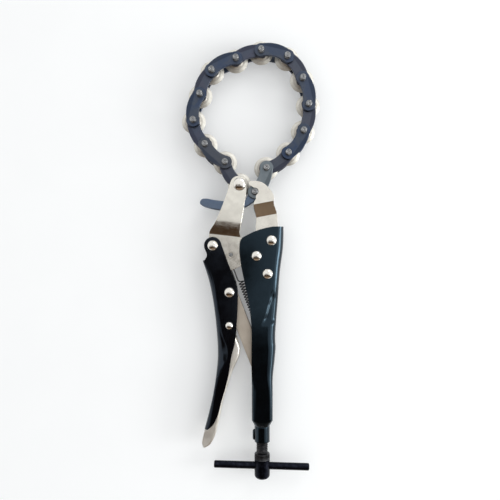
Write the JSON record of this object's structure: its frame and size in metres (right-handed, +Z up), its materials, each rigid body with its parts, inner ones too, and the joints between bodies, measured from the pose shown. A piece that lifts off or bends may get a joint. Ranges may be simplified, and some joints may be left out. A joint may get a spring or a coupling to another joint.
{
  "type": "chain pipe cutter",
  "caption": "Locking-handle chain pipe cutter: bevelled wheels on a chain loop, jaws, toggle handle, release lever and T-bar adjusting screw.",
  "frame": {"origin": "middle of the underside of the tool as it lies flat", "axes": "+Y from the T-bar towards the chain, +X from the lever towards the body, +Z up out of the flat side"},
  "size_m": [0.1156, 0.3679, 0.0234],
  "materials": {
    "nickel": "bright nickel plate",
    "blued_steel": "satin, blued",
    "ground_steel": "ground",
    "black_paint": "gloss",
    "black_oxide": "black oxide",
    "plain_steel": "satin",
    "spring_wire": "drawn wire"
  },
  "bodies": {
    "body": {"body_shell": "black_paint", "fixed_jaw_front": "nickel", "fixed_jaw_rear": "nickel", "fixed_jaw_upper_rivet": "nickel", "fixed_jaw_lower_rivet": "nickel", "fixed_jaw_upper_spacer": "plain_steel", "fixed_jaw_lower_spacer": "plain_steel", "jaw_pivot_rivet": "nickel", "jaw_pivot_spacer": "plain_steel", "return_spring": "spring_wire"},
    "movable_jaw": {"movable_jaw_front": "nickel", "movable_jaw_rear": "nickel", "chain_anchor_rivet": "nickel", "lever_pivot_rivet": "nickel", "lever_pivot_spacer": "plain_steel", "spring_pin": "plain_steel"},
    "lever": {"lever_shell": "black_paint", "toggle_rivet": "nickel", "release_rivet": "nickel"},
    "toggle_link": {"toggle_link": "plain_steel"},
    "release_lever": {"release_lever": "nickel"},
    "screw_nose": {"screw_nose": "ground_steel"},
    "adjusting_screw": {"adjusting_screw": "black_oxide"},
    "t_bar": {"t_bar": "black_oxide"},
    "tail_lever": {"tail_lever": "blued_steel"},
    "inner_link_01": {"inner_link_01": "blued_steel"},
    "outer_link_02": {"outer_link_02": "blued_steel"},
    "inner_link_03": {"inner_link_03": "blued_steel"},
    "outer_link_04": {"outer_link_04": "blued_steel"},
    "inner_link_05": {"inner_link_05": "blued_steel"},
    "outer_link_06": {"outer_link_06": "blued_steel"},
    "inner_link_07": {"inner_link_07": "blued_steel"},
    "outer_link_08": {"outer_link_08": "blued_steel"},
    "inner_link_09": {"inner_link_09": "blued_steel"},
    "outer_link_10": {"outer_link_10": "blued_steel"},
    "inner_link_11": {"inner_link_11": "blued_steel"},
    "outer_link_12": {"outer_link_12": "blued_steel"},
    "inner_link_13": {"inner_link_13": "blued_steel"},
    "outer_link_14": {"outer_link_14": "blued_steel"},
    "cutting_wheel_01": {"cutting_wheel_01": "ground_steel"},
    "cutting_wheel_02": {"cutting_wheel_02": "ground_steel"},
    "cutting_wheel_03": {"cutting_wheel_03": "ground_steel"},
    "cutting_wheel_04": {"cutting_wheel_04": "ground_steel"},
    "cutting_wheel_05": {"cutting_wheel_05": "ground_steel"},
    "cutting_wheel_06": {"cutting_wheel_06": "ground_steel"},
    "cutting_wheel_07": {"cutting_wheel_07": "ground_steel"},
    "cutting_wheel_08": {"cutting_wheel_08": "ground_steel"},
    "cutting_wheel_09": {"cutting_wheel_09": "ground_steel"},
    "cutting_wheel_10": {"cutting_wheel_10": "ground_steel"},
    "cutting_wheel_11": {"cutting_wheel_11": "ground_steel"},
    "cutting_wheel_12": {"cutting_wheel_12": "ground_steel"},
    "cutting_wheel_13": {"cutting_wheel_13": "ground_steel"},
    "cutting_wheel_14": {"cutting_wheel_14": "ground_steel"}
  },
  "joints": [
    {"name": "jaw_turn", "type": "hinge", "parent": "body", "child": "movable_jaw", "pos_m": [0.00494, 0.00231, 0.0117], "axis": [0, 0, 1], "range_deg": [0, 14], "deforming": ["return_spring"]},
    {"name": "lever_turn", "type": "hinge", "parent": "movable_jaw", "child": "lever", "pos_m": [-0.03136, 0.01091, 0.0117], "axis": [0, 0, 1], "range_deg": [-40, 0]},
    {"name": "toggle_turn", "type": "hinge", "parent": "lever", "child": "toggle_link", "pos_m": [-0.01746, -0.02789, 0.0117], "axis": [0, 0, 1], "range_deg": [0, 43.3]},
    {"name": "release_turn", "type": "hinge", "parent": "lever", "child": "release_lever", "pos_m": [-0.01766, -0.05539, 0.0117], "axis": [0, 0, 1], "range_deg": [0, 4.5]},
    {"name": "chain_pivot_01", "type": "hinge", "parent": "movable_jaw", "child": "inner_link_01", "pos_m": [-0.00906, 0.06181, 0.0117], "axis": [0, 0, 1], "range_deg": [-5.5, 0]},
    {"name": "chain_pivot_02", "type": "hinge", "parent": "inner_link_01", "child": "outer_link_02", "pos_m": [-0.02131, 0.08032, 0.0117], "axis": [0, 0, 1], "range_deg": [-4.7, 0]},
    {"name": "chain_pivot_03", "type": "hinge", "parent": "outer_link_02", "child": "inner_link_03", "pos_m": [-0.03781, 0.09518, 0.0117], "axis": [0, 0, 1], "range_deg": [-1.9, 0]},
    {"name": "chain_pivot_04", "type": "hinge", "parent": "inner_link_03", "child": "outer_link_04", "pos_m": [-0.04771, 0.11504, 0.0117], "axis": [0, 0, 1], "range_deg": [-1.4, 0]},
    {"name": "chain_pivot_05", "type": "hinge", "parent": "outer_link_04", "child": "inner_link_05", "pos_m": [-0.04216, 0.13654, 0.0117], "axis": [0, 0, 1], "range_deg": [0, 2.5]},
    {"name": "chain_pivot_06", "type": "hinge", "parent": "inner_link_05", "child": "outer_link_06", "pos_m": [-0.03225, 0.1564, 0.0117], "axis": [0, 0, 1], "range_deg": [0, 2.9]},
    {"name": "chain_pivot_07", "type": "hinge", "parent": "outer_link_06", "child": "inner_link_07", "pos_m": [-0.0123, 0.16614, 0.0117], "axis": [0, 0, 1], "range_deg": [0, 2.3]},
    {"name": "chain_pivot_08", "type": "hinge", "parent": "inner_link_07", "child": "outer_link_08", "pos_m": [0.00882, 0.173, 0.0117], "axis": [0, 0, 1], "range_deg": [0, 2.4]},
    {"name": "chain_pivot_09", "type": "hinge", "parent": "outer_link_08", "child": "inner_link_09", "pos_m": [0.03045, 0.168, 0.0117], "axis": [0, 0, 1], "range_deg": [0, 3.3]},
    {"name": "chain_pivot_10", "type": "hinge", "parent": "inner_link_09", "child": "outer_link_10", "pos_m": [0.04318, 0.14982, 0.0117], "axis": [0, 0, 1], "range_deg": [-1.4, 0]},
    {"name": "chain_pivot_11", "type": "hinge", "parent": "outer_link_10", "child": "inner_link_11", "pos_m": [0.04818, 0.12819, 0.0117], "axis": [0, 0, 1], "range_deg": [-1.4, 0]},
    {"name": "chain_pivot_12", "type": "hinge", "parent": "inner_link_11", "child": "outer_link_12", "pos_m": [0.04394, 0.1064, 0.0117], "axis": [0, 0, 1], "range_deg": [-1.4, 0]},
    {"name": "chain_pivot_13", "type": "hinge", "parent": "outer_link_12", "child": "inner_link_13", "pos_m": [0.03136, 0.0881, 0.0117], "axis": [0, 0, 1], "range_deg": [-1.4, 0]},
    {"name": "chain_pivot_14", "type": "hinge", "parent": "inner_link_13", "child": "outer_link_14", "pos_m": [0.01307, 0.07552, 0.0117], "axis": [0, 0, 1], "range_deg": [0, 1.4]},
    {"name": "wheel_turn_01", "type": "hinge", "parent": "inner_link_01", "child": "cutting_wheel_01", "pos_m": [-0.00906, 0.06181, 0.0117], "axis": [0, 0, 1], "continuous": true},
    {"name": "wheel_turn_02", "type": "hinge", "parent": "inner_link_01", "child": "cutting_wheel_02", "pos_m": [-0.02131, 0.08032, 0.0117], "axis": [0, 0, 1], "continuous": true},
    {"name": "wheel_turn_03", "type": "hinge", "parent": "inner_link_03", "child": "cutting_wheel_03", "pos_m": [-0.03781, 0.09518, 0.0117], "axis": [0, 0, 1], "continuous": true},
    {"name": "wheel_turn_04", "type": "hinge", "parent": "inner_link_03", "child": "cutting_wheel_04", "pos_m": [-0.04771, 0.11504, 0.0117], "axis": [0, 0, 1], "continuous": true},
    {"name": "wheel_turn_05", "type": "hinge", "parent": "inner_link_05", "child": "cutting_wheel_05", "pos_m": [-0.04216, 0.13654, 0.0117], "axis": [0, 0, 1], "continuous": true},
    {"name": "wheel_turn_06", "type": "hinge", "parent": "inner_link_05", "child": "cutting_wheel_06", "pos_m": [-0.03225, 0.1564, 0.0117], "axis": [0, 0, 1], "continuous": true},
    {"name": "wheel_turn_07", "type": "hinge", "parent": "inner_link_07", "child": "cutting_wheel_07", "pos_m": [-0.0123, 0.16614, 0.0117], "axis": [0, 0, 1], "continuous": true},
    {"name": "wheel_turn_08", "type": "hinge", "parent": "inner_link_07", "child": "cutting_wheel_08", "pos_m": [0.00882, 0.173, 0.0117], "axis": [0, 0, 1], "continuous": true},
    {"name": "wheel_turn_09", "type": "hinge", "parent": "inner_link_09", "child": "cutting_wheel_09", "pos_m": [0.03045, 0.168, 0.0117], "axis": [0, 0, 1], "continuous": true},
    {"name": "wheel_turn_10", "type": "hinge", "parent": "inner_link_09", "child": "cutting_wheel_10", "pos_m": [0.04318, 0.14982, 0.0117], "axis": [0, 0, 1], "continuous": true},
    {"name": "wheel_turn_11", "type": "hinge", "parent": "inner_link_11", "child": "cutting_wheel_11", "pos_m": [0.04818, 0.12819, 0.0117], "axis": [0, 0, 1], "continuous": true},
    {"name": "wheel_turn_12", "type": "hinge", "parent": "inner_link_11", "child": "cutting_wheel_12", "pos_m": [0.04394, 0.1064, 0.0117], "axis": [0, 0, 1], "continuous": true},
    {"name": "wheel_turn_13", "type": "hinge", "parent": "inner_link_13", "child": "cutting_wheel_13", "pos_m": [0.03136, 0.0881, 0.0117], "axis": [0, 0, 1], "continuous": true},
    {"name": "wheel_turn_14", "type": "hinge", "parent": "inner_link_13", "child": "cutting_wheel_14", "pos_m": [0.01307, 0.07552, 0.0117], "axis": [0, 0, 1], "continuous": true},
    {"name": "tail_lever_turn", "type": "hinge", "parent": "outer_link_14", "child": "tail_lever", "pos_m": [0.00351, 0.05549, 0.0117], "axis": [0, 0, 1], "range_deg": [-15, 15]},
    {"name": "screw_travel", "type": "slide", "parent": "body", "child": "screw_nose", "axis": [0, 1, 0], "range_m": [-0.012, 0]},
    {"name": "screw_turn", "type": "hinge", "parent": "screw_nose", "child": "adjusting_screw", "pos_m": [0.00979, -0.10769, 0.0117], "axis": [0, 1, 0], "range_deg": [-2880, 0]},
    {"name": "t_bar_slide", "type": "slide", "parent": "adjusting_screw", "child": "t_bar", "axis": [0.9995, -0.0314, 0], "range_m": [-0.03, 0.03]}
  ],
  "couplings": [
    {"joint": "lever_turn", "follows": "jaw_turn", "ratio": -2.8549},
    {"joint": "toggle_turn", "follows": "jaw_turn", "ratio": 3.0868},
    {"joint": "chain_pivot_01", "follows": "jaw_turn", "ratio": -0.3858},
    {"joint": "chain_pivot_02", "follows": "jaw_turn", "ratio": -0.3342},
    {"joint": "chain_pivot_03", "follows": "jaw_turn", "ratio": -0.1338},
    {"joint": "chain_pivot_04", "follows": "jaw_turn", "ratio": -0.0998},
    {"joint": "chain_pivot_05", "follows": "jaw_turn", "ratio": 0.1786},
    {"joint": "chain_pivot_06", "follows": "jaw_turn", "ratio": 0.2043},
    {"joint": "chain_pivot_07", "follows": "jaw_turn", "ratio": 0.1607},
    {"joint": "chain_pivot_08", "follows": "jaw_turn", "ratio": 0.1664},
    {"joint": "chain_pivot_09", "follows": "jaw_turn", "ratio": 0.2288},
    {"joint": "chain_pivot_10", "follows": "jaw_turn", "ratio": -0.0996},
    {"joint": "chain_pivot_11", "follows": "jaw_turn", "ratio": -0.0997},
    {"joint": "chain_pivot_12", "follows": "jaw_turn", "ratio": -0.0997},
    {"joint": "chain_pivot_13", "follows": "jaw_turn", "ratio": -0.0998},
    {"joint": "chain_pivot_14", "follows": "jaw_turn", "ratio": 0.1},
    {"joint": "screw_travel", "follows": "screw_turn", "m_per_rad": 0.00023873}
  ]
}
